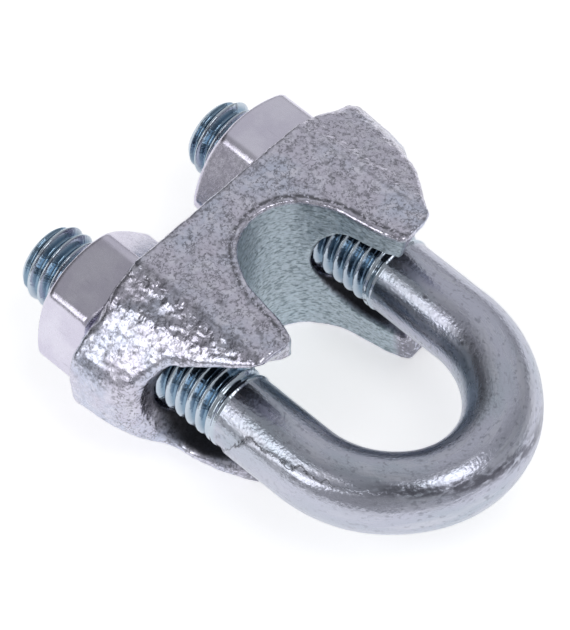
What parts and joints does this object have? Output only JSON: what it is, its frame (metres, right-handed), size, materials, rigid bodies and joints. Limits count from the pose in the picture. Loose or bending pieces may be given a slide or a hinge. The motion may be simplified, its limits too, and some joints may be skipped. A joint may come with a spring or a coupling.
{
  "type": "wire rope clip",
  "caption": "Small wire rope clip: threaded U-bolt, ridged cast saddle with an arched rope seat, and a hexagon nut on each leg.",
  "frame": {"origin": "axis of the saddle's round rope seat, half way along the seat", "axes": "+Z along the rope, out of the face the clip lies on; +Y from the bow of the U-bolt towards the nuts; +X across the two legs"},
  "size_m": [0.03, 0.0379, 0.0152],
  "materials": {
    "bolt_steel": "zinc plated, satin",
    "saddle_casting": "zinc plated rough casting",
    "nut_steel": "zinc plated, satin"
  },
  "bodies": {
    "u_bolt": {"u_bolt": "bolt_steel"},
    "saddle": {"saddle": "saddle_casting"},
    "nut_left": {"nut_left": "nut_steel"},
    "nut_right": {"nut_right": "nut_steel"}
  },
  "joints": [
    {"name": "saddle_slide", "type": "slide", "parent": "u_bolt", "child": "saddle", "axis": [0, 1, 0], "range_m": [-0.009, 0.0075]},
    {"name": "nut_left_spin", "type": "hinge", "parent": "saddle", "child": "nut_left", "pos_m": [-0.0087, 0.0076, 0], "axis": [0, 1, 0], "range_deg": [-3241, 2701]},
    {"name": "nut_right_spin", "type": "hinge", "parent": "saddle", "child": "nut_right", "pos_m": [0.0071, 0.0076, 0], "axis": [0, 1, 0], "range_deg": [-3241, 2701]}
  ],
  "couplings": [
    {"joint": "nut_left_spin", "follows": "saddle_slide", "rad_per_m": 6283.2},
    {"joint": "nut_right_spin", "follows": "saddle_slide", "rad_per_m": 6283.2}
  ]
}
